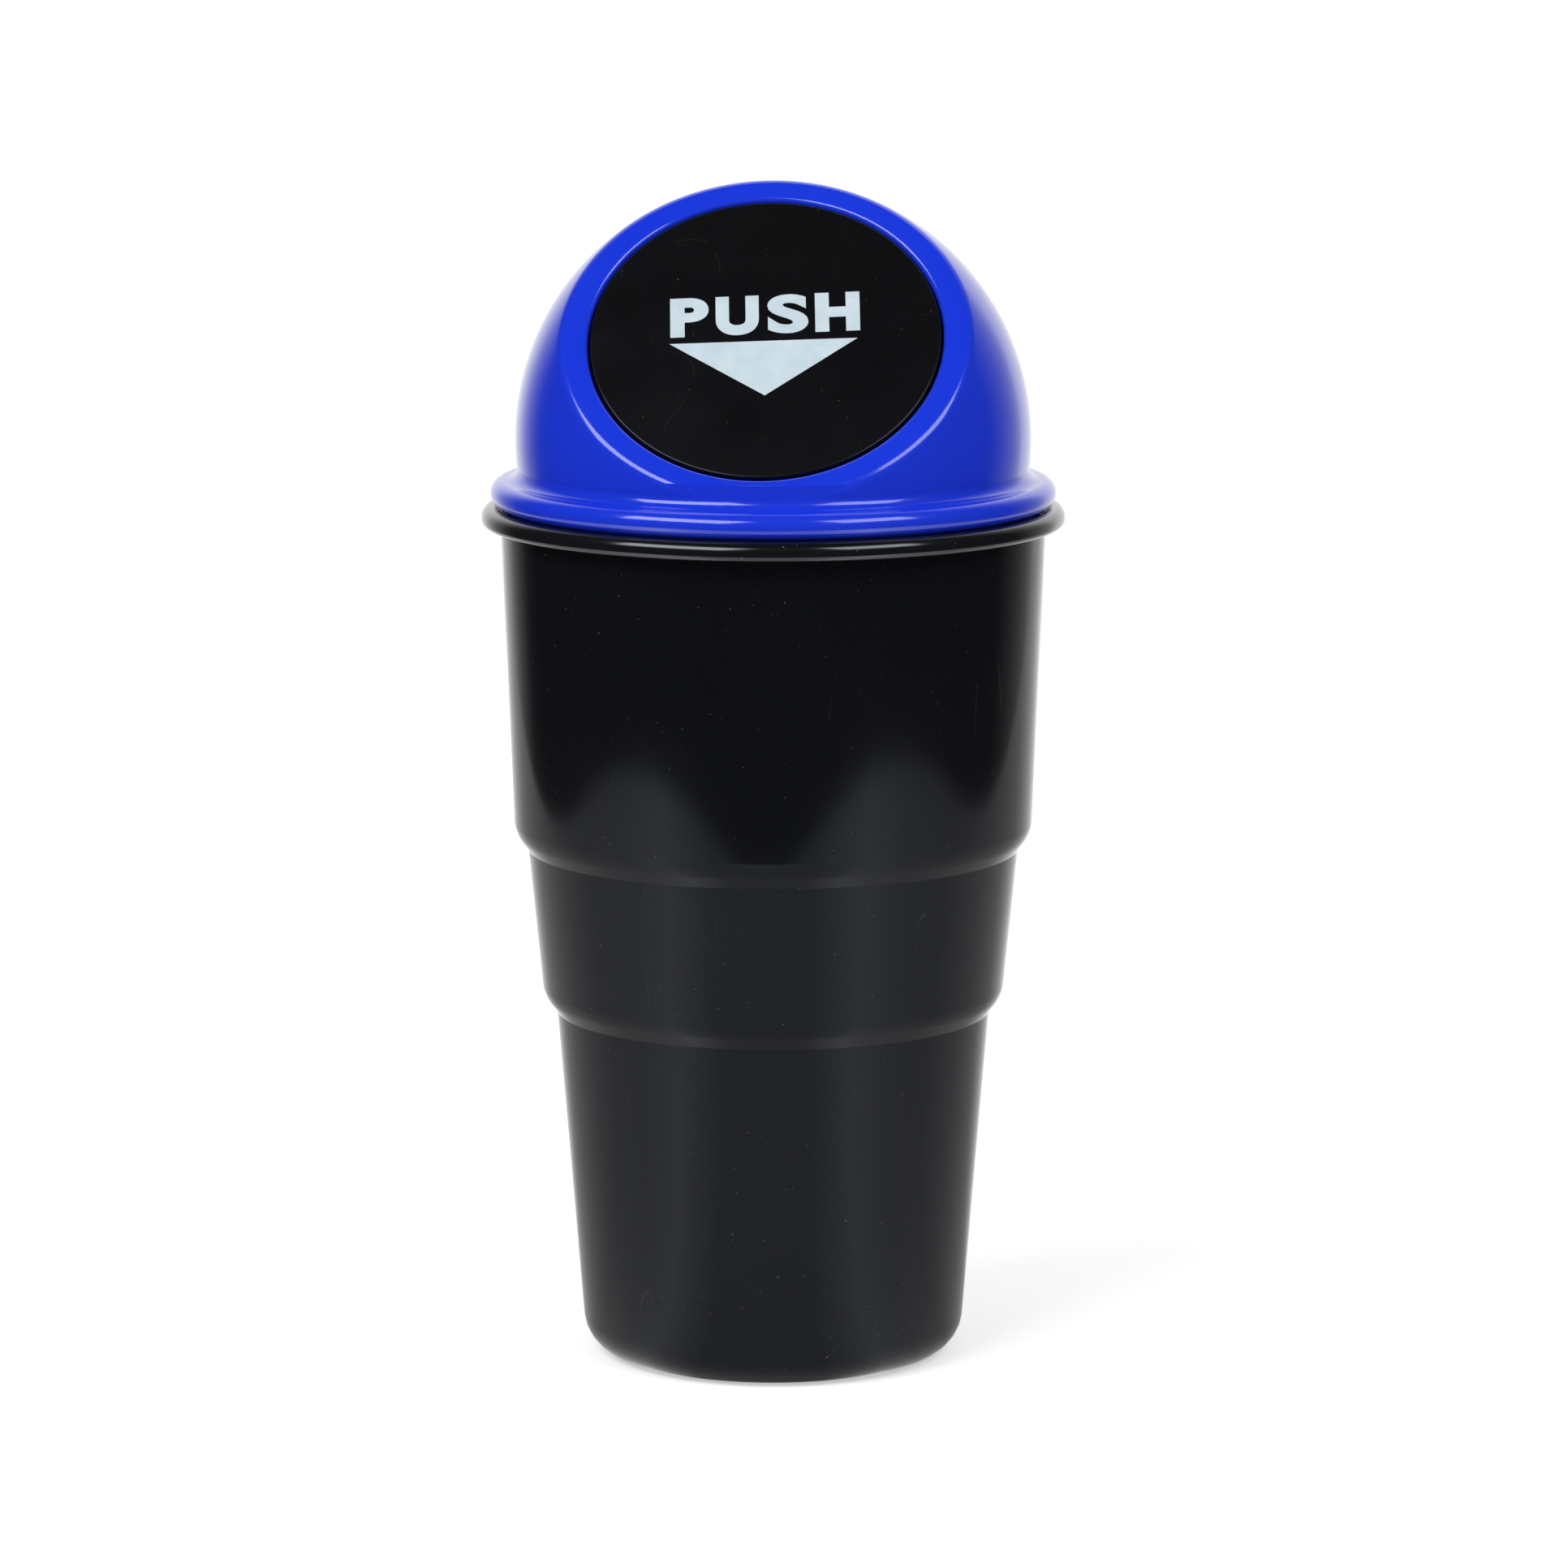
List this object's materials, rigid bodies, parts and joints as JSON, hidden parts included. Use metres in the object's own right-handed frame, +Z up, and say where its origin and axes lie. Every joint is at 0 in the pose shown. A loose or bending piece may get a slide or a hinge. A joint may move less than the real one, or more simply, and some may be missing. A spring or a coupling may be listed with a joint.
{
  "type": "car trash bin",
  "caption": "Stepped plastic cup for a car cup holder, closed by a lift-off dome lid with a spring-loaded round push flap.",
  "frame": {"origin": "middle of the underside", "axes": "+Z up the cup's own axis, -Y towards the side that the push flap faces, +X to the right seen from the front"},
  "size_m": [0.095, 0.095, 0.1929],
  "materials": {
    "cup_black": "semi-gloss moulded polypropylene",
    "lid_blue": "glossy moulded polypropylene",
    "flap_black": "satin moulded polypropylene with white print",
    "pin_steel": "drawn steel rod",
    "spring_steel": "drawn spring wire"
  },
  "bodies": {
    "cup": {"bin_cup": "cup_black"},
    "lid": {"dome_lid": "lid_blue", "hinge_pin": "pin_steel", "return_spring": "spring_steel"},
    "flap": {"push_flap": "flap_black"}
  },
  "joints": [
    {"name": "lid_lift", "type": "slide", "parent": "cup", "child": "lid", "axis": [0, 0, 1], "range_m": [0, 0.03]},
    {"name": "flap_hinge", "type": "hinge", "parent": "lid", "child": "flap", "pos_m": [0, -0.00693, 0.1753], "axis": [1, 0, 0], "range_deg": [0, 70], "stiffness_Nm_per_rad": 0.02, "springref_deg": -28.65, "deforming": ["return_spring"]}
  ]
}
